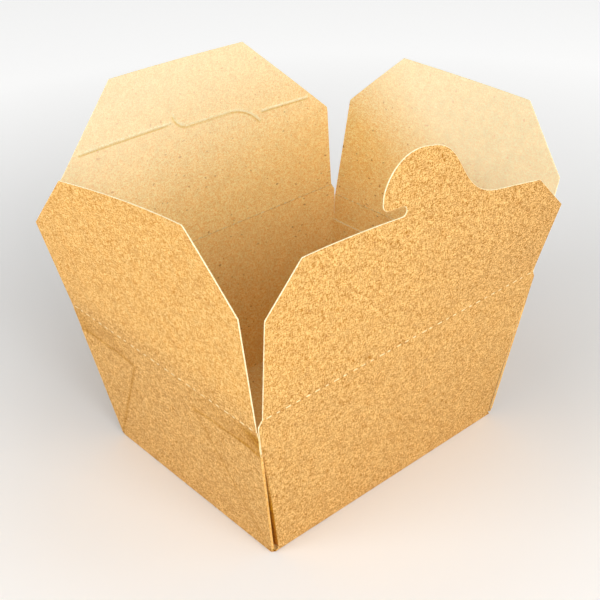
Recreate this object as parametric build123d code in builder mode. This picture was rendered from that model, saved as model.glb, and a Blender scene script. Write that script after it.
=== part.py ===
"""Folded kraft takeaway carton with four top flaps, standing open.

One die-cut sheet of board makes the base, four walls that lean outwards, four corner
webs folded flat inside the end walls, and four flaps that swing on perforated creases.
Frame: millimetres, +Z up, origin at the centre of the base's underside.  X runs along
the long walls; the tongue flap is on the -Y wall and the slit flap on the +Y wall.
"""
from build123d import *
from math import asin, atan, cos, degrees, radians, sin, sqrt, tan
import os

# ---------------------------------------------------------------- driving dimensions
# carton
base_length = 111.0        # outside of the base along X
base_width = 89.0          # outside of the base along Y
wall_height = 63.5         # height of the two long flaps' creases
end_drop = 4.5             # the dust flaps' creases lie this much lower
long_lean = radians(7.5)   # outward lean of the two long walls
end_lean = radians(8.5)    # outward lean of the two end walls
board = 0.45               # thickness of the sheet

# folds
layer_gap = 0.08           # air between the layers of a folded corner web
fold_inside = 0.35         # inside radius of a square fold
corner_relief = 1.2        # the base folds stop this far short of each corner
web_start = 2.5            # the corner webs begin this far up the wall
web_top_drop = 10.7        # their top edges lie this far below the end walls' creases
hinge_gap = 0.2            # slot between a wall's top edge and its flap
bevel_drop = 2.5           # the walls' top corners are cut back over this height
end_bevel_inset = 0.2      # and an end wall's by this much
web_step = 0.8             # this far above the webs the long walls widen
corner_gap = 0.15          # and run on to this far from the end walls

# flaps: distances up the flap are measured from its crease
flap_side_gap = 0.4        # a long flap is this much shorter at each end than its wall
dust_side_gap = 0.2        # and a dust flap this much shorter than its own
corner_round = 0.5         # radius on the flaps' corners
long_flap_flare = 1.2      # a long flap is this much wider at its shoulders, each side
dust_flap_flare = -0.1     # and a dust flap this much narrower
dust_flap_gap = 8.2        # the two closed dust flaps stop this far apart
dust_shoulder = 38.5       # where a dust flap's chamfers begin
dust_chamfer = 21.5        # how far the chamfers cut in along the flap's width
tongue_flap_reach = 47.0   # straight edge of the tongue flap, without the tongue
tongue_shoulder = 33.0
tongue_chamfer = 14.0
lid_overlap = 7.7          # the closed long flaps' straight edges overlap by this
slit_shoulder = 32.5
slit_chamfer = 34.5

# tongue: X along the flap, heights above the flap's straight edge
notch_end_x = -6.7
notch_radius = 1.7
tip_x = -16.9
tip_round = 2.6
tip_rise = 8.6             # height at which the tip runs into the head's curve
head_shoulder = (-12.6, 16.6)
head_top = (1.2, 21.2)
neck_middle = (14.9, 12.2)
neck_end_x = 33.0

# slit and the scores that run out from it, in the slit flap: places along X, and
# heights above the flat middle of the slit
slit_width = 0.35
tongue_engagement = 5.2    # the closed tongue reaches this far past the slit
slit_flat_start_x = -1.0
slit_flat_end_x = 18.0
slit_left_x = -6.5
slit_left_rise = 5.0
slit_right_x = 31.0
slit_right_drop = 6.5
score_left_rise = 2.5
score_right_drop = 3.3
score_gap = 1.6            # plain board between a score and the slit's end
score_edge_gap = 2.5       # plain board between a score and the flap's edge
score_width = 0.8
score_depth = 0.12

# how the flaps stand: angle above the horizontal, pointing outwards
tongue_flap_angle = radians(84.0)
slit_flap_angle = radians(80.5)
left_dust_angle = radians(82.5)
right_dust_angle = radians(74.5)

# ---------------------------------------------------------------- worked out from them
half_length = base_length / 2
half_width = base_width / 2
fold_outside = fold_inside + board
end_slant = (wall_height - end_drop) / cos(end_lean)    # up the end wall to its crease
long_slant = wall_height / cos(long_lean)               # up the long wall to its crease
top_cut = board / 2 + hinge_gap                         # a wall stops this short of its crease
web_height = end_slant - web_top_drop

# the creases' distances from the middle of the box, and what has to reach across it
long_crease = half_width + long_slant * sin(long_lean) - board / 2 * cos(long_lean)
end_crease = half_length + end_slant * sin(end_lean) - board / 2 * cos(end_lean)
dust_reach = end_crease - dust_flap_gap / 2
slit_flap_reach = 2 * long_crease - tongue_flap_reach + lid_overlap
slit_height = 2 * long_crease - tongue_flap_reach - head_top[1] + tongue_engagement
score_left = slit_height + score_left_rise
score_right = slit_height - score_right_drop

# lean of the corner line seen in each wall's own plane, and the web's folded half angle
end_corner_slope = tan(long_lean) * cos(end_lean)
long_corner_slope = tan(end_lean) * cos(long_lean)
web_half_angle = radians(45) - (atan(end_corner_slope) + atan(long_corner_slope)) / 2
web_diagonal_slope = tan(web_half_angle - atan(end_corner_slope))

# corner section, square to the corner line: q points out along the end wall, z out of it
web_fold_radius = board + layer_gap / 2
long_layer_depth = 2 * (board + layer_gap)              # outer face of the web's inner layer
twist = asin(sin(end_lean) * sin(long_lean))            # how far the corner is off square
bend_z = -(long_layer_depth + fold_outside)
bend_q = (-fold_outside - sin(twist) * bend_z) / cos(twist)
bend_edge_q = bend_q + fold_outside * cos(twist)
bend_edge_z = bend_z + fold_outside * sin(twist)
long_inset = sqrt(bend_edge_q**2 + bend_edge_z**2)      # flat of the long wall ends here

long_cos = cos(atan(long_corner_slope))
end_cos = cos(atan(end_corner_slope))


def wall_plane(heading_x, heading_y, half, lean, depth=0.0):
    """Outer face of a wall, or the plane that lies depth inside it."""
    out = Vector(heading_x * cos(lean), heading_y * cos(lean), -sin(lean))
    foot = Vector(heading_x * half, heading_y * half, 0)
    return Plane(origin=foot - out * depth, x_dir=(-heading_y, heading_x, 0), z_dir=out)


def flap_plane(wall, heading_x, heading_y, slant, angle):
    """Middle plane of a flap that stands at an angle on its wall's crease."""
    crease = wall.from_local_coords(Vector(0, slant, -board / 2))
    out = Vector(heading_x * sin(angle), heading_y * sin(angle), -cos(angle))
    return Plane(origin=crease, x_dir=(-heading_y, heading_x, 0), z_dir=out)


def long_edge(height):
    """Half length of a long wall's flat at a distance up the wall."""
    return half_length + long_corner_slope * height - long_inset / long_cos


def wide_edge(height):
    """Half length of a long wall above the webs, where it reaches the end wall."""
    return half_length + long_corner_slope * height - (board + corner_gap) / long_cos


def end_edge(height, inset):
    """Half width of an end wall, less an inset square to the corner line."""
    return half_width + end_corner_slope * height - inset / end_cos


def diagonal_edge(height, inset):
    """Place of the web's diagonal fold, moved towards the corner by an inset."""
    diagonal_cos = cos(atan(web_diagonal_slope))
    return half_width - web_diagonal_slope * height + inset / diagonal_cos


def bent_board(centre, inside, start_angle, sweep_angle):
    """Cross section of the board round a fold: a ring sector one board thick."""
    with BuildLine() as section:
        outer = CenterArc(centre, inside + board, start_angle, sweep_angle)
        inner = CenterArc(centre, inside, start_angle, sweep_angle)
        Line(outer @ 0, inner @ 0)
        Line(outer @ 1, inner @ 1)
    make_face(section.edges())


def base_fold_start(lean):
    """Distance from the sharp edge of the base to where the fold's curve begins."""
    return fold_outside * tan(radians(45) - lean / 2)


back_wall = wall_plane(0, 1, half_width, long_lean)
front_wall = wall_plane(0, -1, half_width, long_lean)
right_wall = wall_plane(1, 0, half_length, end_lean)
left_wall = wall_plane(-1, 0, half_length, end_lean)

# ---------------------------------------------------------------- carton body
long_foot = base_fold_start(long_lean)
end_foot = base_fold_start(end_lean)
long_top = long_slant - top_cut
end_top = end_slant - top_cut
end_bevel_start = end_slant - bevel_drop
long_bevel_start = long_slant - bevel_drop
step_height = web_height + web_step
fold_run = web_height - web_start

# directions in the end wall's plane: up the corner line and up the web's diagonal
corner_up = Vector(end_corner_slope, 1, 0).normalized()
diagonal_up = Vector(-web_diagonal_slope, 1, 0).normalized()


def plane_across(x, depth, up):
    """Plane square to a fold of the web: its X points out of the end wall."""
    foot = right_wall.from_local_coords(Vector(x, web_start, -depth))
    direction = right_wall.from_local_coords(up) - right_wall.origin
    return Plane(origin=foot, x_dir=right_wall.z_dir, z_dir=direction)


with BuildPart() as carton:
    # one quarter, +X +Y, is built here and mirrored twice at the end
    with BuildSketch():
        Rectangle(half_length - end_foot, half_width - long_foot, align=(Align.MIN, Align.MIN))
    extrude(amount=board)

    # folds along the feet of the end wall and the long wall
    with BuildSketch(Plane.XZ):
        bent_board((half_length - end_foot, fold_outside), fold_inside, -90, 90 - degrees(end_lean))
    extrude(amount=-(half_width - corner_relief))
    with BuildSketch(Plane.YZ):
        bent_board((half_width - long_foot, fold_outside), fold_inside, -90, 90 - degrees(long_lean))
    extrude(amount=half_length - corner_relief)

    # half of the long wall: the plane's own X axis points to -X
    with BuildSketch(back_wall):
        with BuildLine():
            Polyline(
                (0, long_foot),
                (-long_edge(long_foot), long_foot),
                (-long_edge(step_height), step_height),
                (-wide_edge(step_height), step_height),
                (-wide_edge(long_bevel_start), long_bevel_start),
                (-long_edge(long_top), long_top),
                (0, long_top),
                close=True,
            )
        make_face()
    extrude(amount=-board)

    # half of the end wall, its top corner cut back towards the crease
    with BuildSketch(right_wall):
        with BuildLine():
            Polyline(
                (0, end_foot),
                (end_edge(end_foot, web_fold_radius), end_foot),
                (end_edge(end_bevel_start, web_fold_radius), end_bevel_start),
                (end_edge(end_top, web_fold_radius + end_bevel_inset), end_top),
                (0, end_top),
                close=True,
            )
        make_face()
    extrude(amount=-board)

    # the web's two layers: one against the end wall, one that runs on into the long wall
    for depth, corner_inset in ((board + layer_gap, web_fold_radius), (long_layer_depth, -bend_q)):
        with BuildSketch(wall_plane(1, 0, half_length, end_lean, depth)):
            with BuildLine():
                Polyline(
                    (end_edge(web_start, corner_inset), web_start),
                    (end_edge(web_height, corner_inset), web_height),
                    (diagonal_edge(web_height, web_fold_radius), web_height),
                    (diagonal_edge(web_start, web_fold_radius), web_start),
                    close=True,
                )
            make_face()
        extrude(amount=-board)

    # the web's three folds: back on itself at the corner, back again along the
    # diagonal, and square round the corner into the long wall
    with BuildSketch(plane_across(end_edge(web_start, web_fold_radius), web_fold_radius, corner_up)):
        bent_board((0, 0), layer_gap / 2, 0, 180)
    extrude(amount=fold_run / corner_up.Y)
    diagonal_depth = web_fold_radius + board + layer_gap
    diagonal_foot = diagonal_edge(web_start, web_fold_radius)
    with BuildSketch(plane_across(diagonal_foot, diagonal_depth, diagonal_up)):
        bent_board((0, 0), layer_gap / 2, 0, -180)
    extrude(amount=fold_run / diagonal_up.Y)
    with BuildSketch(plane_across(end_edge(web_start, 0), 0, corner_up)):
        bent_board((bend_z, bend_q), fold_inside, 0, 90 - degrees(twist))
    extrude(amount=fold_run / corner_up.Y)

    mirror(about=Plane.YZ)
    mirror(about=Plane.XZ)

# ---------------------------------------------------------------- flaps
tongue_plane = flap_plane(front_wall, 0, -1, long_slant, tongue_flap_angle)
slit_plane = flap_plane(back_wall, 0, 1, long_slant, slit_flap_angle)

long_flap_half = long_edge(long_top) - flap_side_gap
dust_flap_half = end_edge(end_top, web_fold_radius + end_bevel_inset) - dust_side_gap


def flap_outline(crease_half, flare, shoulder, reach, chamfer_run):
    """Flap with two chamfered top corners, all four rounded, as a face of the open sketch."""
    shoulder_half = crease_half + flare
    top_half = shoulder_half - chamfer_run
    with BuildLine() as outline:
        Polyline(
            (-crease_half, 0),
            (crease_half, 0),
            (shoulder_half, shoulder),
            (top_half, reach),
            (-top_half, reach),
            (-shoulder_half, shoulder),
            close=True,
        )
    make_face(outline.edges())
    fillet(vertices().filter_by(lambda corner: corner.Y > shoulder / 2), radius=corner_round)


def rounded_crease(plane, half):
    """Round the flap's lower edge about its crease, so that it can swing."""
    end = plane.from_local_coords(Vector(-half, 0, 0))
    with BuildSketch(Plane(origin=end, z_dir=plane.x_dir)) as rod_end:
        Circle(board / 2)
    extrude(rod_end.sketch, amount=2 * half)


with BuildPart() as tongue_flap:
    # the tongue rises from the straight edge: round notch, tip, head, then a long neck
    edge = tongue_flap_reach
    notch_start = (notch_end_x - notch_radius, edge)
    notch_top = edge + 2 * notch_radius
    with BuildSketch(tongue_plane):
        flap_outline(long_flap_half, long_flap_flare, tongue_shoulder, edge, tongue_chamfer)
        with BuildLine():
            ThreePointArc(
                notch_start,
                (notch_end_x, edge + notch_radius),
                (notch_start[0], notch_top),
            )
            Line((notch_start[0], notch_top), (tip_x + tip_round, notch_top))
            tip = TangentArc(
                (tip_x + tip_round, notch_top), (tip_x, notch_top + tip_round), tangent=(-1, 0)
            )
            Line(tip @ 1, (tip_x, edge + tip_rise))
            ThreePointArc(
                (tip_x, edge + tip_rise),
                (head_shoulder[0], edge + head_shoulder[1]),
                (head_top[0], edge + head_top[1]),
            )
            Spline(
                (head_top[0], edge + head_top[1]),
                (neck_middle[0], edge + neck_middle[1]),
                (neck_end_x, edge),
                tangents=((1, 0), (1, 0)),
            )
            Polyline(
                (neck_end_x, edge),
                (neck_end_x, edge - corner_round),
                (notch_start[0], edge - corner_round),
                notch_start,
            )
        make_face()
    extrude(amount=board / 2, both=True)
    rounded_crease(tongue_plane, long_flap_half)

# the slit flap's own X axis points to -X, so places along X change sign on it
score_slope = slit_chamfer / (slit_flap_reach - slit_shoulder)
score_half = long_flap_half + long_flap_flare - score_edge_gap
score_left_outer = (score_left - slit_shoulder) * score_slope - score_half
score_right_outer = score_half - (score_right - slit_shoulder) * score_slope
scores = (
    (score_left_outer, slit_left_x - score_gap, score_left),
    (slit_right_x + score_gap, score_right_outer, score_right),
)

with BuildPart() as slit_flap:
    with BuildSketch(slit_plane):
        flap_outline(
            long_flap_half, long_flap_flare, slit_shoulder, slit_flap_reach, slit_chamfer
        )
    extrude(amount=board / 2, both=True)
    rounded_crease(slit_plane, long_flap_half)

    # slit: a flat middle that hooks up at one end and down at the other
    with BuildSketch(slit_plane):
        with BuildLine():
            middle = Line((-slit_flat_start_x, slit_height), (-slit_flat_end_x, slit_height))
            TangentArc(middle @ 0, (-slit_left_x, slit_height + slit_left_rise), tangent=(1, 0))
            TangentArc(middle @ 1, (-slit_right_x, slit_height - slit_right_drop), tangent=(-1, 0))
        trace(line_width=slit_width)
    extrude(amount=board, both=True, mode=Mode.SUBTRACT)

    # scores pressed into the outer face on both sides of the slit
    with BuildSketch(slit_plane.offset(board / 2)):
        for start, end, height in scores:
            with Locations((-(start + end) / 2, height)):
                Rectangle(end - start, score_width)
    extrude(amount=-score_depth, mode=Mode.SUBTRACT)

# the two dust flaps differ only in where they stand
dust_planes = {
    "left_dust_flap": flap_plane(left_wall, -1, 0, end_slant, left_dust_angle),
    "right_dust_flap": flap_plane(right_wall, 1, 0, end_slant, right_dust_angle),
}
dust_flaps = {}
for name, plane in dust_planes.items():
    with BuildPart() as dust_flap:
        with BuildSketch(plane):
            flap_outline(dust_flap_half, dust_flap_flare, dust_shoulder, dust_reach, dust_chamfer)
        extrude(amount=board / 2, both=True)
        rounded_crease(plane, dust_flap_half)
    dust_flaps[name] = dust_flap

# ---------------------------------------------------------------- files
pieces = {"carton": carton, "tongue_flap": tongue_flap, "slit_flap": slit_flap, **dust_flaps}
os.makedirs("parts", exist_ok=True)
for name, piece in pieces.items():
    piece.part.label = name
    export_step(piece.part, f"parts/{name}.step")
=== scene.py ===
"""Looks of the folded kraft takeaway box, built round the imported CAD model.

Every visible piece starts from its CAD node's own mesh.  It is cut finer, its perforated
creases, scores and pressed lines are shaped, and the flaps get the slight twist and curl
of board that has been folded once.  Lengths inside the shaping code are millimetres.
"""
import bpy
import bmesh
import math
from mathutils import Matrix, Vector


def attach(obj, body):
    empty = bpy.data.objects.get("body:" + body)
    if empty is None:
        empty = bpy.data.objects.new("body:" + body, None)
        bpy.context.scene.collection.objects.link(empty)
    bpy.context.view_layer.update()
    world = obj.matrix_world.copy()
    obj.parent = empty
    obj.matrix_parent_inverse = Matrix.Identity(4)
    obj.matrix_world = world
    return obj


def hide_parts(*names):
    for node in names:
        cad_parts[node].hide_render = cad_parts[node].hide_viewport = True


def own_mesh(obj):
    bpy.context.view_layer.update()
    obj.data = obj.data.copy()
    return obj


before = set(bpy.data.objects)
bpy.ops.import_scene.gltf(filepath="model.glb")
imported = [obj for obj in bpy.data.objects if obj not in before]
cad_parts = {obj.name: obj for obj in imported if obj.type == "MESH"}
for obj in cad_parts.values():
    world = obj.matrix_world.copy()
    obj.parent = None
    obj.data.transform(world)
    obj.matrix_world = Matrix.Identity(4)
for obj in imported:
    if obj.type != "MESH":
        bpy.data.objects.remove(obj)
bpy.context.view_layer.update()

MM = 0.001

# ---------------------------------------------------------------- the CAD model's sizes, mm
BASE_LENGTH = 111.0
BASE_WIDTH = 89.0
WALL_HEIGHT = 63.5
END_DROP = 4.5
LONG_LEAN = math.radians(7.5)
END_LEAN = math.radians(8.5)
BOARD = 0.45
NEAR_BOARD = BOARD / 2 + 0.02  # a point this near a panel's middle surface is on its board
TOP_CUT = BOARD / 2 + 0.2  # the CAD walls end this far under their creases
LONG_SLANT = WALL_HEIGHT / math.cos(LONG_LEAN)
END_SLANT = (WALL_HEIGHT - END_DROP) / math.cos(END_LEAN)

# half lengths of the creases, and the flaps' reaches
LONG_HALF = 62.64
DUST_HALF = 51.32
TONGUE_REACH = 47.0
SLIT_REACH = 66.0
DUST_REACH = 60.0
LONG_FLARE = 1.2           # a long flap is this much wider at its shoulders, each side
SLIT_SHOULDER = 32.5       # the slit flap's chamfers start here
SLIT_CHAMFER = 34.5        # and cut in this far along the flap's width

# corner webs inside the end walls: distances down from the crease and out from the middle
WEB_TOP = -10.7
WEB_TIP = 16.6
WEB_START = 2.5            # the webs begin this far up the wall
WEB_FOOT = -END_SLANT + WEB_START
WEB_FOOT_X = 43.1
WEB_LENGTH = END_SLANT + WEB_TOP   # from the foot of a corner to the web's top edge
WEB_ROWS = (-1.0, -0.5, 0, 0.5, 1.0)   # rows cut along a web's outline
EMBOSS = 0.10              # an end wall stands this much further out over a web
RECESS = 0.5               # and is pulled in this far where the webs' top edges hold it
WEB_PALE = 0.6             # paleness of the fold where an end wall turns back into its web: stretched fibres, with a painted highlight
LINE_SHADE = 0.9            # painted shade along the web's outline on the end wall, this dark
LINE_WIDTH = 0.6
SHADE_MOST = 1.6             # and the painted shade on the band above the web up to this dark

# crease perforation
DASH_PITCH = 3.9
DASH_LENGTH = 1.9
DASH_HALF = 0.19
DASH_DEPTH = 0.12          # on the outer face; the inner face is dented twice as deep
DASH_END = 0.25            # length of a dash's sloping ends
CREASE_HALF = 0.6          # half width of the strip that carries the dashes

# the corner webs' inner layer has sprung away from the end wall, most at the foot
CORNER_SPRING = 1.05
CORNER_FADE = 9.0          # and is back in its place this far from the corner
CORNER_SHADOW = 2.3          # how dark the painted shadow is on the fold where it turns into the gap
CORNER_SHADE = (-1.6, -1.1)    # where that painted shadow sets in and is full, along the wall's z
FOLD_OUTSIDE = 0.8         # the fold's outer radius and its centre's place along z
FOLD_CENTRE = -1.635
INNER_LAYER = -0.80        # the layer's outer side, inwards from the end wall's middle
STEP_DROP = 14.4           # above this the long walls run on to the end walls
STEP_GAP = 0.8             # and their lower corners sit on the webs' top edges
CORNER_GAP = 0.15          # the CAD's gap beside those upper ends, closed here

# slit flap: the slit's flat middle and its two hooks; x runs to the left, seen from inside
SLIT_HEIGHT = 42.27
SLIT_FLAT = (-18.0, 1.0)
SLIT_LEFT = (6.5, 5.0)
SLIT_RIGHT = (-31.0, -6.5)
SLIT_HALF = 0.17           # half of the slit's width in the CAD
SLIT_CLOSE = 0.165         # each lip has sprung back this far across the slit
SLIT_LIP = 0.32            # how far the lips stand out of the inner face
LIP_WIDTH = 1.0
LIP_CORE = 0.42            # the slit's lips are painted the pale cut-edge colour this far from its middle: the cut's real core, widened into a painted highlight
LIP_SHADE = (0.75, 0.45)   # middle and half width of the painted shadow below the lips
SCORE_HEIGHTS = (SLIT_HEIGHT + 2.5, SLIT_HEIGHT - 3.3)
SCORE_GAP = 1.6            # plain board between a score and the slit's hook
SCORE_EDGE_GAP = 2.5       # and between a score and the flap's edge
SCORE_RISE = 0.40          # how far the back of a score stands out of the inner face
SCORE_HALF = 0.75
SCORE_CORE = 0.5           # a painted highlight along the score's crest reaches this far from its middle
SCORE_SHADE = 0.4          # half width of the painted shadow at the score's lower edge
SCORE_END = 0.6            # a score fades out over this length
SCORE_REACH = 1.2
SCORE_ROWS = (-SCORE_REACH, -SCORE_HALF, -0.5, -0.25, 0, 0.25, 0.5, SCORE_HALF)
RIB_SHADOW = 0.9             # how dark those painted shadows are

CREASE_GAP = 0.24          # a wall's top edge ends this far under its crease

EDGE_BEVEL = 0.13          # the cut edges' corners are rubbed off by this much

GRID = 3.0                 # cell size that the flat board is cut to
FINE_GRID = 0.5            # and round the slit
SPAN_X, SPAN_Y, SPAN_UP, SPAN_FLAP = 66, 54, 66, 72    # the grid reaches past every piece

# which side of the board a face shows: its place in a piece's list of materials
OUTER, INNER, EDGE = 0, 1, 2


# ---------------------------------------------------------------- sheet coordinates
class Sheet:
    """Local coordinates of a flat panel: x along its crease, y up the panel, z outwards."""

    def __init__(self, origin, heading, tilt):
        """tilt is the panel's angle above the horizontal, leaning towards its heading."""
        hx, hy = heading
        x = Vector((-hy, hx, 0))
        z = Vector((hx * math.sin(tilt), hy * math.sin(tilt), -math.cos(tilt)))
        y = z.cross(x)
        turn = Matrix((x, y, z)).transposed().to_4x4()
        self.to_row = Matrix.Translation(Vector(origin)) @ turn
        self.to_local = self.to_row.inverted()
        self.out = z
        self.up = y


def crease_origin(heading, half, slant, lean):
    """Middle of a crease, on the board's middle surface."""
    reach = half + slant * math.sin(lean) - BOARD / 2 * math.cos(lean)
    height = slant * math.cos(lean) + BOARD / 2 * math.sin(lean)
    return (heading[0] * reach, heading[1] * reach, height)


FRONT, BACK, LEFT, RIGHT = (0, -1), (0, 1), (-1, 0), (1, 0)
creases = {
    FRONT: crease_origin(FRONT, BASE_WIDTH / 2, LONG_SLANT, LONG_LEAN),
    BACK: crease_origin(BACK, BASE_WIDTH / 2, LONG_SLANT, LONG_LEAN),
    LEFT: crease_origin(LEFT, BASE_LENGTH / 2, END_SLANT, END_LEAN),
    RIGHT: crease_origin(RIGHT, BASE_LENGTH / 2, END_SLANT, END_LEAN),
}
# a wall's sheet has its origin on the crease too, so the wall lies at negative y
walls = {
    FRONT: Sheet(creases[FRONT], FRONT, math.radians(90) - LONG_LEAN),
    BACK: Sheet(creases[BACK], BACK, math.radians(90) - LONG_LEAN),
    LEFT: Sheet(creases[LEFT], LEFT, math.radians(90) - END_LEAN),
    RIGHT: Sheet(creases[RIGHT], RIGHT, math.radians(90) - END_LEAN),
}


# ---------------------------------------------------------------- mesh helpers
def cad_mesh(node):
    """A CAD node's mesh, welded, in millimetres in the row frame."""
    bm = bmesh.new()
    bm.from_mesh(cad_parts[node].data)
    bm.transform(Matrix.Scale(1 / MM, 4))
    bmesh.ops.remove_doubles(bm, verts=bm.verts, dist=0.002)
    return bm


def faces_where(bm, keep):
    """Faces whose centre passes a test."""
    return [f for f in bm.faces if keep(f.calc_center_median())]


def cut(bm, point, normal, faces=None):
    """Cuts faces along a plane and returns what has become of them."""
    faces = list(bm.faces) if faces is None else faces
    edges = {e for f in faces for e in f.edges}
    verts = {v for f in faces for v in f.verts}
    made = bmesh.ops.bisect_plane(
        bm, geom=faces + list(edges) + list(verts), dist=0.0005, plane_co=point, plane_no=normal
    )
    return [part for part in made["geom"] if isinstance(part, bmesh.types.BMFace)]


def cut_grid(bm, normal, low, high, step):
    """Cuts the whole mesh at evenly spaced places along an axis."""
    for place in steps(low, high, step):
        cut(bm, Vector(normal) * place, normal)


def cut_across(bm, xs, faces, reach=3.5):
    """Cuts a strip of faces at several places along x."""
    strip = [(f, f.calc_center_median().x) for f in faces]
    for x in xs:
        near = [f for f, centre in strip if abs(centre - x) < reach]
        strip = [(f, centre) for f, centre in strip if abs(centre - x) >= reach]
        if near:
            made = cut(bm, (x, 0, 0), (1, 0, 0), near)
            strip += [(f, f.calc_center_median().x) for f in made]
    return [f for f, _ in strip]


def steps(low, high, step):
    """Evenly spaced numbers strictly inside low and high."""
    count = max(1, round((high - low) / step))
    return [low + (high - low) * i / count for i in range(1, count)]


def dash_ends(half):
    """Start and end of every dash of a perforated crease; the knife leaves them uneven."""
    count = int(2 * half / DASH_PITCH)
    first = -count * DASH_PITCH / 2 + (DASH_PITCH - DASH_LENGTH) / 2
    dashes = []
    for i in range(count):
        start = first + i * DASH_PITCH + 0.25 * math.sin(i * 2.3)
        dashes.append((start, start + DASH_LENGTH * (0.85 + 0.25 * math.sin(i * 3.7 + 1))))
    return dashes


def in_dash(x, dashes):
    """Whether a place along a crease is inside a dash."""
    return any(a <= x <= b for a, b in dashes)


def finished(bm, name, body, node, smooth_angle=35):
    """Turns the mesh into an object that rides on a body and stands for a CAD node."""
    bmesh.ops.triangulate(bm, faces=bm.faces)
    bm.transform(Matrix.Scale(MM, 4))
    bmesh.ops.recalc_face_normals(bm, faces=bm.faces)
    for face in bm.faces:
        face.smooth = True
    for edge in bm.edges:
        if len(edge.link_faces) == 2:
            edge.smooth = edge.calc_face_angle(0) < math.radians(smooth_angle)
    mesh = bpy.data.meshes.new(name)
    bm.to_mesh(mesh)
    bm.free()
    for material in (kraft_outer, kraft_inner, kraft_edge):
        mesh.materials.append(material)
    piece = bpy.data.objects.new(name, mesh)
    bpy.context.scene.collection.objects.link(piece)
    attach(piece, body)
    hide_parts(node)
    return piece


# ---------------------------------------------------------------- materials
def nodes_of(name):
    """A new material, its node tree and its shader."""
    material = bpy.data.materials.new(name)
    material.use_nodes = True
    tree = material.node_tree
    return material, tree, tree.nodes["Principled BSDF"]


def noise(tree, coordinates, scale, detail, roughness, stretch=(1, 1, 1), turn=(0, 0, 0)):
    """Noise with a grain of about 1/scale metres, stretched along a direction."""
    mapping = tree.nodes.new("ShaderNodeMapping")
    mapping.inputs["Scale"].default_value = stretch
    mapping.inputs["Rotation"].default_value = turn
    texture = tree.nodes.new("ShaderNodeTexNoise")
    texture.inputs["Scale"].default_value = scale
    texture.inputs["Detail"].default_value = detail
    texture.inputs["Roughness"].default_value = roughness
    tree.links.new(coordinates, mapping.inputs["Vector"])
    tree.links.new(mapping.outputs["Vector"], texture.inputs["Vector"])
    return texture.outputs["Fac"]


def ramp(tree, value, stops):
    """Colour ramp through (position, colour) stops."""
    node = tree.nodes.new("ShaderNodeValToRGB")
    elements = node.color_ramp.elements
    while len(elements) < len(stops):
        elements.new(0.5)
    for element, (position, colour) in zip(elements, stops):
        element.position = position
        element.color = (*colour, 1)
    tree.links.new(value, node.inputs["Fac"])
    return node.outputs["Color"]


def connect(tree, value, socket):
    """Links a socket, or sets a plain value."""
    if isinstance(value, bpy.types.NodeSocket):
        tree.links.new(value, socket)
    else:
        socket.default_value = value


def mix(tree, kind, factor, a, b):
    """Mix node for colours; factor, a and b may each be a socket or a plain value.

    The factor isn't held to 0-1, so a strongly pressed place gets darker than the second
    colour, and a negative paleness darkens.
    """
    node = tree.nodes.new("ShaderNodeMix")
    node.data_type = "RGBA"
    node.blend_type = kind
    node.clamp_factor = False
    node.clamp_result = True
    for socket, value in ((node.inputs[0], factor), (node.inputs[6], a), (node.inputs[7], b)):
        connect(tree, value, socket)
    return node.outputs[2]


def maths(tree, kind, a, b):
    """Math node with two inputs, each a socket or a plain value."""
    node = tree.nodes.new("ShaderNodeMath")
    node.operation = kind
    connect(tree, a, node.inputs[0])
    connect(tree, b, node.inputs[1])
    return node.outputs[0]


def weighted(tree, *parts):
    """Sum of values, each times its weight."""
    total = 0.0
    for value, weight in parts:
        total = maths(tree, "ADD", maths(tree, "MULTIPLY", value, weight), total)
    return total


def attribute(tree, name):
    """A number that each point of the mesh carries, such as its amount of painted shade."""
    node = tree.nodes.new("ShaderNodeAttribute")
    node.attribute_name = name
    return node.outputs["Fac"]


BLACK, WHITE = (0, 0, 0), (1, 1, 1)


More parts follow.
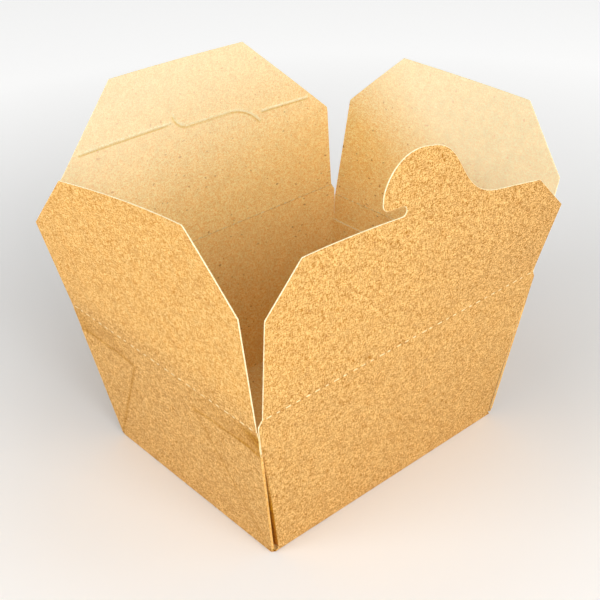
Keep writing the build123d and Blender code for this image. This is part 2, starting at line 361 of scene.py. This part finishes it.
def kraft(name, dark, light, fibre, fleck, pale_and_painted_light, cloud, bump, roughness):
    """Uncoated kraft board.

    Fine pulp grain and short fibres in three directions run from dark to light, with some
    paler fibres, a few dark flecks and faint wide clouds.  Painted shade and shadow darken the
    board where the mesh's shade number says so: under the scores and the slit's lips, over
    the webs' outline and above it on the end walls, and in the corners' gaps.  Painted light
    makes it paler where the mesh's paleness number says so, towards the flaps' free ends and
    on their outer faces; on the end walls' upright folds that paleness is stretched fibres
    with a painted highlight.
    """
    material, tree, shader = nodes_of(name)
    place = tree.nodes.new("ShaderNodeTexCoord").outputs["Object"]
    grain = noise(tree, place, 2900, 1, 0.6)
    pulp = noise(tree, place, 1200, 2, 0.7)
    streak = noise(tree, place, 2300, 1, 0.5, (1.2, 1.2, 0.3), (0.7, 0.5, 0))
    slant = noise(tree, place, 2300, 1, 0.5, (1.2, 0.3, 1.2), (0.5, 0, 0.8))
    cross = noise(tree, place, 2300, 1, 0.5, (0.3, 1.2, 1.2), (0, 0.9, 0.5))
    clouds = noise(tree, place, 260, 2, 0.7)
    flecks = noise(tree, place, 900, 0, 0.5, (0.7, 0.7, 1.1), (0.5, 0.4, 0))
    mottle = weighted(
        tree, (grain, 0.30), (pulp, 0.12), (streak, 0.20), (slant, 0.19), (cross, 0.19)
    )
    colour = ramp(tree, mottle, ((0.425, dark), (0.575, light)))
    pale_fibres = ramp(tree, slant, ((0.62, BLACK), (0.78, (0.5,) * 3)))
    colour = mix(tree, "MIX", pale_fibres, colour, (*fibre, 1))
    dark_flecks = ramp(tree, flecks, ((0.795, BLACK), (0.815, (0.6,) * 3)))
    colour = mix(tree, "MIX", dark_flecks, colour, (*fleck, 1))
    # painted light: the board is screened paler as far as the mesh's paleness number says; on
    # the end walls' folds this is also real stretched fibres
    if pale_and_painted_light:
        colour = mix(tree, "SCREEN", attribute(tree, "pale_and_painted_light"), colour, (*pale_and_painted_light, 1))
    tone = ramp(tree, clouds, ((0.3, (1 - cloud,) * 3), (0.7, WHITE)))
    colour = mix(tree, "MULTIPLY", 1.0, colour, tone)
    # painted shade and shadow: the colour is multiplied by the shade tint as far as the mesh's
    # shade number says
    colour = mix(tree, "MULTIPLY", attribute(tree, "painted_shade"), colour, (*PAINTED_SHADE_TINT, 1))
    tree.links.new(colour, shader.inputs["Base Color"])
    shader.inputs["Roughness"].default_value = roughness
    shader.inputs["Specular IOR Level"].default_value = 0.2
    relief = tree.nodes.new("ShaderNodeBump")
    relief.inputs["Strength"].default_value = bump
    relief.inputs["Distance"].default_value = 0.05 * MM
    tree.links.new(mottle, relief.inputs["Height"])
    tree.links.new(relief.outputs["Normal"], shader.inputs["Normal"])
    return material


def srgb(r, g, b):
    """Linear colour of a 0-255 screen colour."""
    def linear(v):
        v /= 255
        return v / 12.92 if v <= 0.04045 else ((v + 0.055) / 1.055) ** 2.4
    return (linear(r), linear(g), linear(b))


PAINTED_SHADE_TINT = srgb(231, 218, 173)  # painted shade: the board's colour is multiplied by this tint where shade is painted on
kraft_outer = kraft(
    "kraft_outer", srgb(168, 108, 20), srgb(245, 198, 125), fibre=srgb(255, 224, 160),
    fleck=srgb(158, 98, 36), pale_and_painted_light=(0.9, 0.28, 0.05), cloud=0.13, bump=0.12, roughness=0.75,
)
kraft_inner = kraft(
    "kraft_inner", srgb(239, 181, 101), srgb(255, 232, 164), fibre=srgb(255, 242, 194),
    fleck=srgb(160, 100, 44), pale_and_painted_light=(0.9, 0.55, 0.36), cloud=0.07, bump=0.15, roughness=0.7,
)
kraft_edge = kraft(
    "kraft_edge", srgb(244, 220, 164), srgb(255, 248, 212), fibre=srgb(255, 248, 220),
    fleck=srgb(206, 166, 108), pale_and_painted_light=None, cloud=0.05, bump=0.3, roughness=0.8,
)


# ---------------------------------------------------------------- flaps
class Warp:
    """Twist and curl of a flap, growing from nothing at its crease.

    half is half the flap's width and reach its height.  At the reach, out moves the board
    outwards: by its first number in the middle, plus its second towards one end and minus
    it towards the other, plus its third at both ends.  rise and along are small shifts up
    the flap and along it, each in the middle and its change towards the ends.
    """

    def __init__(self, half, reach, out, rise, along):
        self.half, self.reach = half, reach
        self.out, self.rise, self.along = out, rise, along

    def __call__(self, p):
        s, t = p.x / self.half, max(p.y, 0) / self.reach
        out = t * (self.out[0] + self.out[1] * s + self.out[2] * s * s)
        rise = t * (self.rise[0] + self.rise[1] * s)
        along = t * (self.along[0] + self.along[1] * s)
        return Vector((p.x + along, p.y + rise, p.z + out))


def crease_rows(bm, dashes, side):
    """Cuts a perforated crease's rows and dashes; side is +1 on a flap and -1 on a wall."""
    strip = faces_where(bm, lambda c: abs(c.y) < 3.0 and abs(c.z) < 1.0)
    for row in (DASH_HALF, CREASE_HALF):
        strip = cut(bm, (0, side * row, 0), (0, 1, 0), strip)
    strip = [f for f in strip if abs(f.calc_center_median().y) < CREASE_HALF]
    cut_across(bm, [x for a, b in dashes for x in (a, a + DASH_END, b - DASH_END, b)], strip)


def soften_outline(bm):
    """Takes the sharp corner off the flap's cut edges, where the board's pale core shows."""
    bmesh.ops.dissolve_limit(bm, angle_limit=0.01, verts=bm.verts, edges=bm.edges)
    bm.normal_update()
    outline = []
    for edge in bm.edges:
        if len(edge.link_faces) == 2 and min(v.co.y for v in edge.verts) > 0.3:
            flat, upright = sorted((abs(f.normal.z) for f in edge.link_faces), reverse=True)
            if flat > 0.98 and upright < 0.3:
                outline.append(edge)
    bmesh.ops.bevel(
        bm, geom=outline, offset=EDGE_BEVEL, segments=1, profile=0.5, affect="EDGES",
        clamp_overlap=False,
    )
    bmesh.ops.triangulate(bm, faces=bm.faces)


def faces_of_board(bm, dashes):
    """Gives each face its side of the board, and the dashes' faces the raw edge."""
    bm.normal_update()
    for face in bm.faces:
        centre = face.calc_center_median()
        if face.normal.z > 0.9 or (face.normal.z > 0.6 and centre.y < 0.3):
            face.material_index = OUTER
        elif face.normal.z < -0.9 or (face.normal.z < -0.6 and centre.y < 0.3):
            face.material_index = INNER
        else:
            face.material_index = EDGE
        if abs(centre.y) < DASH_HALF and in_dash(centre.x, dashes):
            face.material_index = EDGE


def sink_dashes(bm, dashes):
    """Presses the middle of every dash in from both faces, along the crease line."""
    for v in bm.verts:
        x, y, z = v.co
        if abs(y) < 0.01 and abs(z) > 0.1 and any(a + 0.1 < x < b - 0.1 for a, b in dashes):
            v.co.z += -DASH_DEPTH if z > 0 else 2 * DASH_DEPTH


def smooth(value):
    """Smooth step from 0 to 1."""
    value = min(max(value, 0), 1)
    return value * value * (3 - 2 * value)


def slit_line():
    """Points along the middle of the slit, from its left hook to its right hook."""
    arcs = []
    for start, (x, rise) in ((SLIT_FLAT[1], SLIT_LEFT), (SLIT_FLAT[0], SLIT_RIGHT)):
        run = x - start
        radius = (run * run + rise * rise) / (2 * abs(rise))
        sweep = 2 * math.atan2(abs(rise), abs(run))
        arcs.append([
            (start + math.copysign(radius * math.sin(sweep * i / 12), run),
             SLIT_HEIGHT + math.copysign(radius * (1 - math.cos(sweep * i / 12)), rise))
            for i in range(13)
        ])
    return arcs[0][::-1] + arcs[1]


def nearest_on_line(x, y, points):
    """Distance to a polyline, and the way towards it."""
    best = (1e9, 0, 0)
    for (ax, ay), (bx, by) in zip(points, points[1:]):
        dx, dy = bx - ax, by - ay
        share = min(max(((x - ax) * dx + (y - ay) * dy) / (dx * dx + dy * dy), 0), 1)
        to_x, to_y = ax + share * dx - x, ay + share * dy - y
        best = min(best, (math.hypot(to_x, to_y), to_x, to_y))
    return best


def slit_and_scores(bm, painted_shade):
    """Raises the lips of the slit and the backs of the two scores on the inner face, and paints
    shadow lines below them.

    Returns each score's two ends and its height.
    """
    line = slit_line()
    left, right = SLIT_LEFT[0] + 2, SLIT_RIGHT[0] - 2
    low, high = SLIT_HEIGHT + SLIT_RIGHT[1] - 2, SLIT_HEIGHT + SLIT_LEFT[1] + 2
    patch = faces_where(bm, lambda c: low - 3 < c.y < high + 3 and right - 3 < c.x < left + 3)
    patch = cut_across(bm, steps(right, left, FINE_GRID), patch)
    for y in steps(low, high, FINE_GRID):
        near = [f for f in patch if abs(f.calc_center_median().y - y) < 3]
        patch = [f for f in patch if abs(f.calc_center_median().y - y) >= 3]
        patch += cut(bm, (0, y, 0), (0, 1, 0), near)
    # a score runs from beside the slit to short of the flap's chamfered edge
    slope = SLIT_CHAMFER / (SLIT_REACH - SLIT_SHOULDER)
    scores = []
    for side, height, start in (
        (1, SCORE_HEIGHTS[0], SLIT_LEFT[0] + SCORE_GAP),
        (-1, SCORE_HEIGHTS[1], SLIT_RIGHT[0] - SCORE_GAP),
    ):
        chamfered = LONG_HALF + LONG_FLARE - SCORE_EDGE_GAP - (height - SLIT_SHOULDER) * slope
        scores.append((min(start, side * chamfered), max(start, side * chamfered), height))
    for start, end, height in scores:
        strip = faces_where(bm, lambda c: start - 3 < c.x < end + 3 and abs(c.y - height) < 4)
        places = [x + step for x in (start, end) for step in (-0.5, 0, 0.5)]
        strip = [
            f for f in cut_across(bm, places, strip)
            if start - SCORE_END < f.calc_center_median().x < end + SCORE_END
        ]
        for step in SCORE_ROWS:
            strip = cut(bm, (0, height + step, 0), (0, 1, 0), strip)
    for v in bm.verts:
        x, y, z = v.co
        for start, end, height in scores:
            inside = min(x - start + SCORE_END, end + SCORE_END - x)
            if z < 0 and abs(y - height) < SCORE_REACH and inside > 0:
                ends = smooth(inside)
                # painted shadow along the score's lower edge
                dark = max(0, 1 - abs(y - height + SCORE_HALF) / SCORE_SHADE)
                v.co.z -= SCORE_RISE * ends * smooth(1 - abs(y - height) / SCORE_HALF)
                v[painted_shade] = RIB_SHADOW * ends * dark
        if low - 1 < y < high + 1 and right - 1 < x < left + 1:
            away, to_x, to_y = nearest_on_line(x, y, line)
            lip = smooth(1 - (away - SLIT_HALF) / LIP_WIDTH)
            if away > 0.05:
                v.co.x += to_x / away * SLIT_CLOSE * lip
                v.co.y += to_y / away * SLIT_CLOSE * lip
            v.co.z -= SLIT_LIP * lip
            # painted shadow below the slit's lips
            if z < 0 and to_y > 0.1:
                v[painted_shade] = RIB_SHADOW * max(0, 1 - abs(away - LIP_SHADE[0]) / LIP_SHADE[1])
    return scores


def flap(name, node, body, heading, tilt, half, warp, pale_and_painted_light, detail=None):
    """Builds a flap's board round its CAD node.

    The paleness argument is painted light: the inner face's paleness at the free end and its
    change towards one side, then the same two for the outer face, which has it nearly all over.
    """
    sheet = Sheet(creases[heading], heading, math.radians(tilt))
    bm = cad_mesh(node)
    bm.transform(sheet.to_local)
    soften_outline(bm)
    cut_grid(bm, (1, 0, 0), -SPAN_X, SPAN_X, GRID)
    cut_grid(bm, (0, 1, 0), 0, SPAN_FLAP, GRID)
    dashes = dash_ends(half)
    crease_rows(bm, dashes, 1)
    # painted shade, set on the slit flap under its scores and slit
    painted_shade = bm.verts.layers.float.new("painted_shade")
    faces_of_board(bm, dashes)
    if detail:
        scores = detail(bm, painted_shade)
        faces_of_board(bm, dashes)
        # painted highlight in the pale cut-edge colour along the scores' crests, and along the
        # slit's lips, where the cut's real core also shows
        for face in bm.faces:
            x, y, z = face.calc_center_median()
            on_score = any(a < x < b and abs(y - height) < SCORE_CORE for a, b, height in scores)
            if z < 0 and (on_score or nearest_on_line(x, y, slit_line())[0] < LIP_CORE):
                face.material_index = EDGE
    sink_dashes(bm, dashes)
    # painted light: paler towards the flap's free end, and on the outer face nearly all over
    pale_and_painted_light_layer = bm.verts.layers.float.new("pale_and_painted_light")
    for v in bm.verts:
        up, side = v.co.y / warp.reach, v.co.x / warp.half
        if v.co.z < 0:
            amount = pale_and_painted_light[0] * smooth((up - 0.05) / 0.95) + pale_and_painted_light[1] * side * smooth(up * 2)
        else:
            amount = (pale_and_painted_light[2] + pale_and_painted_light[3] * side) * smooth(up * 5)
        v[pale_and_painted_light_layer] = min(max(amount, -0.15), 1)
        v.co = warp(v.co)
    bm.transform(sheet.to_row)
    piece = finished(bm, name, body, node)
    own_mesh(piece)


flap(
    "tongue_flap_board", "tongue_flap", "tongue_lid",
    FRONT, 84.0, LONG_HALF,
    Warp(63.8, TONGUE_REACH, out=(-2.1, 5.0, 5.7), rise=(-0.1, -3.1), along=(0.4, -2.3)),
    pale_and_painted_light=(0.8, 0, 0.0, -0.15),
)
flap(
    "slit_flap_board", "slit_flap", "slit_lid",
    BACK, 80.5, LONG_HALF,
    Warp(63.8, SLIT_REACH, out=(3.1, 1.9, -6.7), rise=(1.3, 0.2), along=(-0.1, -0.1)),
    pale_and_painted_light=(0.95, 0.25, 0.1, 0), detail=slit_and_scores,
)
flap(
    "left_dust_board", "left_dust_flap", "left_dust_lid",
    LEFT, 82.5, DUST_HALF,
    Warp(51.2, DUST_REACH, out=(-2.6, -4.8, 4.1), rise=(0.3, 2.5), along=(-0.1, -1.3)),
    pale_and_painted_light=(0.8, 0, 0.28, 0.05),
)
flap(
    "right_dust_board", "right_dust_flap", "right_dust_lid",
    RIGHT, 74.5, DUST_HALF,
    Warp(51.2, DUST_REACH, out=(3.8, -2.0, -4.3), rise=(1.1, 1.5), along=(-0.2, 0.4)),
    pale_and_painted_light=(1.5, -0.9, 0.1, 0),
)


# ---------------------------------------------------------------- carton body
def beyond_web(x, y):
    """Signed distance in the end wall's plane from the web's outline, positive over the web."""
    run, drop = WEB_FOOT_X - WEB_TIP, WEB_TOP - WEB_FOOT
    to_diagonal = ((abs(x) - WEB_TIP) * drop - (WEB_TOP - y) * run) / math.hypot(run, drop)
    return min(WEB_TOP - y, to_diagonal)


def web_rows(bm):
    """Cuts rows along the outline of the two webs that lie behind an end wall."""
    run, drop = WEB_FOOT_X - WEB_TIP, WEB_TOP - WEB_FOOT
    for step in WEB_ROWS:
        near_top = faces_where(
            bm, lambda c: abs(c.z) < 0.5 and abs(c.x) > WEB_TIP - 2 and abs(c.y - WEB_TOP) < 4
        )
        cut(bm, (0, WEB_TOP + step, 0), (0, 1, 0), near_top)
        for side in (-1, 1):
            normal = Vector((side * drop, run, 0)).normalized()
            point = Vector((side * WEB_TIP, WEB_TOP, 0)) + normal * step
            near_diagonal = faces_where(
                bm, lambda c: abs(c.z) < 0.5 and side * c.x > 0 and abs(beyond_web(c.x, c.y)) < 4
                and WEB_FOOT - 1 < c.y < WEB_TOP + 2
            )
            cut(bm, point, normal, near_diagonal)


def recess(x, y):
    """How far an end wall is pulled in where the webs' top edges hold it.

    It fades out towards the wall's middle, its corners, its crease and its foot.
    """
    across = smooth((abs(x) - 14) / 14) * smooth((49.5 - abs(x)) / 6)
    if y > WEB_TOP:
        return RECESS * across * y / WEB_TOP
    return RECESS * across * smooth(1 - (WEB_TOP - y) / 28)


def painted_shade_at(x, y):
    """How dark the painted shade is on an end wall, over the webs' outline and above their top
    edges.
    """
    line = LINE_SHADE * math.exp(-(beyond_web(x, y) / LINE_WIDTH) ** 2)
    if abs(x) < WEB_TIP - 3:
        line *= 0.2
    # painted shade on a band above the webs, from the wall's middle out to its corners, darkest
    # at one of them
    band = smooth((abs(x) - 12) / 12) * smooth(y / WEB_TOP / 0.3)
    band *= smooth((y - WEB_TOP) / 0.8 + 0.5)
    uneven = 0.75 + 0.25 * math.sin(x * 0.31 + y * 0.4)
    side_shade = 0.45 + (1.1 if x > 0 else 0.2) * smooth((abs(x) - 36) / 11)
    return min(SHADE_MOST, line + band * uneven * side_shade)


def end_wall_marks(bm, painted_shade):
    """The webs show through an end wall: a pulled-in band, a faint step and painted shade."""
    for v in bm.verts:
        x, y, z = v.co
        if -2.6 < z < 0.4 and -END_SLANT + 1 < y < -0.3:
            if z > 0.1:
                # painted shade on the outer face
                v[painted_shade] = painted_shade_at(x, y)
                v.co.z += EMBOSS * (smooth(beyond_web(x, y) / 1.6 + 0.5) - 1)
            v.co.z -= recess(x, y)


def wall_edge(y):
    """Half width of an end wall's outline at a distance down from its crease."""
    return BASE_WIDTH / 2 + math.tan(LONG_LEAN) * math.cos(END_LEAN) * (END_SLANT + y)


def on_fold(z, inwards):
    """Whether a point is on the outer side of the fold that leads into a long wall."""
    if not (CORNER_SHADE[0] < z < INNER_LAYER and -0.3 < inwards < 4):
        return False
    if inwards > FOLD_OUTSIDE:
        return z > INNER_LAYER - 0.2
    return math.hypot(z - FOLD_CENTRE, inwards - FOLD_OUTSIDE) > FOLD_OUTSIDE - 0.2


def open_corners(bm, painted_shade, pale_and_painted_light_layer):
    """Springs the webs' inner layer and the long walls' folds away from the end walls.

    The mesh is in an end wall's own coordinates.
    """
    for v in bm.verts:
        x, y, z = v.co
        inwards = wall_edge(y) - abs(x)
        height = END_SLANT + y
        # the end wall's own upright fold is pale: stretched fibres, with a painted highlight
        # along it
        if inwards < 0.3 and -0.85 < z < 0.3 and WEB_START - 0.1 < height < WEB_LENGTH + 0.1:
            v[pale_and_painted_light_layer] = WEB_PALE
        # painted shadow: the fold into the long wall is dark beside the gap, and less so further
        # up
        if on_fold(z, inwards) and height < WEB_LENGTH:
            fade = smooth(1.3 * (WEB_LENGTH - height) / WEB_LENGTH)
            turned = (z - CORNER_SHADE[0]) / (CORNER_SHADE[1] - CORNER_SHADE[0])
            v[painted_shade] = CORNER_SHADOW * fade * smooth(turned)
        # the inner layer and the long wall's end have moved inwards, most at the foot
        if INNER_LAYER - CORNER_FADE < z < INNER_LAYER and -0.6 < inwards < CORNER_FADE + 1:
            up = smooth((height - 0.5) / 1.2)
            up *= max(0, 1 - (height - WEB_START) / (WEB_LENGTH + 3))
            along = smooth(1 - inwards / CORNER_FADE)
            deep = smooth(1 - (INNER_LAYER - z) / CORNER_FADE)
            v.co.z -= CORNER_SPRING * up * along * deep


def close_top_corners(bm):
    """Runs the long walls' free upper edges up to the end walls; long wall coordinates."""
    for v in bm.verts:
        x, y, z = v.co
        if abs(z) < NEAR_BOARD and -STEP_DROP - 0.2 < y < -1.5:
            edge = BASE_LENGTH / 2 + math.tan(END_LEAN) * math.cos(LONG_LEAN) * (LONG_SLANT + y)
            if edge - BOARD - CORNER_GAP - 0.3 < abs(x) < edge - BOARD + 0.1:
                v.co.x += math.copysign(CORNER_GAP, x)
            if abs(x) > edge - 2.6 and y < -STEP_DROP + 0.3:
                v.co.y -= STEP_GAP


def carton():
    """Builds the base, walls and corner webs round the carton's CAD node."""
    bm = cad_mesh("carton")
    cut_grid(bm, (1, 0, 0), -SPAN_X, SPAN_X, GRID)
    cut_grid(bm, (0, 1, 0), -SPAN_Y, SPAN_Y, GRID)
    cut_grid(bm, (0, 0, 1), 0, SPAN_UP, GRID / 2)
    # painted shade under the webs' lines and in the corners' gaps, and paleness with painted
    # light on the upright folds
    painted_shade = bm.verts.layers.float.new("painted_shade")
    pale_and_painted_light_layer = bm.verts.layers.float.new("pale_and_painted_light")
    for heading, wall in walls.items():
        bm.transform(wall.to_local)
        half = LONG_HALF if heading in (FRONT, BACK) else DUST_HALF
        # the wall's top edge goes up to just under the flap's round edge
        for v in bm.verts:
            x, y, z = v.co
            if abs(y + TOP_CUT) < 0.02 and abs(z) < NEAR_BOARD and abs(x) < half + 2:
                v.co.y = -CREASE_GAP
        crease_rows(bm, dash_ends(half), -1)
        if heading in (LEFT, RIGHT):
            web_rows(bm)
        else:
            close_top_corners(bm)
        bm.transform(wall.to_row)
    bm.normal_update()
    for face in bm.faces:
        face.material_index = side_of(face)
    # under a crease the wall's top edge shows the board's raw core where the knife went through
    for heading, wall in walls.items():
        dashes = dash_ends(LONG_HALF if heading in (FRONT, BACK) else DUST_HALF)
        for face in bm.faces:
            x, y, z = wall.to_local @ face.calc_center_median()
            if abs(y + CREASE_GAP) < 0.03 and abs(z) < 0.3 and in_dash(x, dashes):
                face.material_index = EDGE
    for heading in (LEFT, RIGHT):
        bm.transform(walls[heading].to_local)
        end_wall_marks(bm, painted_shade)
        open_corners(bm, painted_shade, pale_and_painted_light_layer)
        bm.transform(walls[heading].to_row)
    finished(bm, "carton_board", "carton_body", "carton")


def side_of(face):
    """Outer, inner or cut edge, from where the face lies and which way it points."""
    centre, normal = face.calc_center_median(), face.normal
    if centre.z < 2 * BOARD:
        if normal.z < -0.3:
            return OUTER
        if normal.z > 0.3:
            return INNER
    for heading, wall in walls.items():
        local = wall.to_local @ centre
        facing = normal.dot(wall.out)
        if abs(local.z) < NEAR_BOARD:
            if facing > 0.5:
                return OUTER
            if facing < -0.5:
                return INNER
            # a wall's top edge is where the unbroken board bends on into the flap
            if local.y > -CREASE_GAP - 0.01 and normal.dot(wall.up) > 0.5:
                return OUTER
            upper = WEB_TOP if heading in (LEFT, RIGHT) else -STEP_DROP
            if local.y > upper and abs(facing) < 0.3:
                return EDGE
    # the webs and folds: the sheet's outer side faces away from the box's middle
    if abs(normal.z) > 0.5:
        return EDGE
    outwards = Vector((centre.x, centre.y, 0)).normalized()
    return OUTER if normal.dot(outwards) > 0 else INNER


carton()

# ---------------------------------------------------------------- floor, light, camera; metres
FLOOR_SIZE = 40
LIGHT_DISTANCE = 0.8
LIGHT_SIZE = 0.55
LIGHT_AIM = (0, 0, 0.08)
AZIMUTH, ELEVATION, ROLL = math.radians(-40.51), math.radians(30.90), math.radians(-2.09)
CAMERA_AIM = (0.0232, 0.0291, 0.0333)
CAMERA_DISTANCE = 0.430
SENSOR_WIDTH, LENS = 36, 64.5  # millimetres


def direction(azimuth, elevation):
    """Unit vector towards a place round the box; azimuth 0 is straight in front of it."""
    return Vector((
        math.sin(azimuth) * math.cos(elevation), -math.cos(azimuth) * math.cos(elevation),
        math.sin(elevation),
    ))


bpy.ops.mesh.primitive_plane_add(size=FLOOR_SIZE)
floor = bpy.context.object
floor.name = "floor"
floor_material, floor_tree, floor_shader = nodes_of("floor")
floor_shader.inputs["Base Color"].default_value = (0.90, 0.90, 0.89, 1)
floor_shader.inputs["Roughness"].default_value = 0.9
# the studio floor glows a little further out, where the three lights no longer reach it
floor_place = floor_tree.nodes.new("ShaderNodeTexCoord").outputs["Object"]
distance = floor_tree.nodes.new("ShaderNodeVectorMath")
distance.operation = "LENGTH"
floor_tree.links.new(floor_place, distance.inputs[0])
glow = ramp(floor_tree, distance.outputs["Value"], ((0.10, BLACK), (0.45, (0.42,) * 3)))
floor_tree.links.new(glow, floor_shader.inputs["Emission Color"])
floor_shader.inputs["Emission Strength"].default_value = 1.0
floor.data.materials.append(floor_material)

world = bpy.data.worlds.new("studio")
bpy.context.scene.world = world
world.use_nodes = True
background = world.node_tree.nodes["Background"]
background.inputs["Color"].default_value = (1, 1, 1, 1)
background.inputs["Strength"].default_value = 0.4


def soft_light(name, azimuth, elevation, power):
    """Round soft light aimed at the box; the angles are degrees."""
    towards = direction(math.radians(azimuth), math.radians(elevation))
    data = bpy.data.lights.new(name, "AREA")
    data.shape = "DISK"
    data.size = LIGHT_SIZE
    data.energy = power
    light = bpy.data.objects.new(name, data)
    light.visible_camera = False
    light.location = Vector(LIGHT_AIM) + towards * LIGHT_DISTANCE
    light.rotation_euler = (-towards).to_track_quat("-Z", "Y").to_euler()
    bpy.context.scene.collection.objects.link(light)


soft_light("left_light", -100, 20, 3.15)
soft_light("front_light", -10, 25, 4.15)
soft_light("right_light", 30, 25, 0.7)

camera_data = bpy.data.cameras.new("camera")
camera_data.sensor_width = SENSOR_WIDTH
camera_data.lens = LENS
camera_data.clip_start = 0.01
camera = bpy.data.objects.new("camera", camera_data)
bpy.context.scene.collection.objects.link(camera)
towards_camera = direction(AZIMUTH, ELEVATION)
camera.location = Vector(CAMERA_AIM) + towards_camera * CAMERA_DISTANCE
level = (-towards_camera).to_track_quat("-Z", "Y")
camera.rotation_mode = "QUATERNION"
camera.rotation_quaternion = level @ Matrix.Rotation(ROLL, 3, "Z").to_quaternion()
bpy.context.scene.camera = camera
bpy.context.scene.view_settings.view_transform = "Standard"
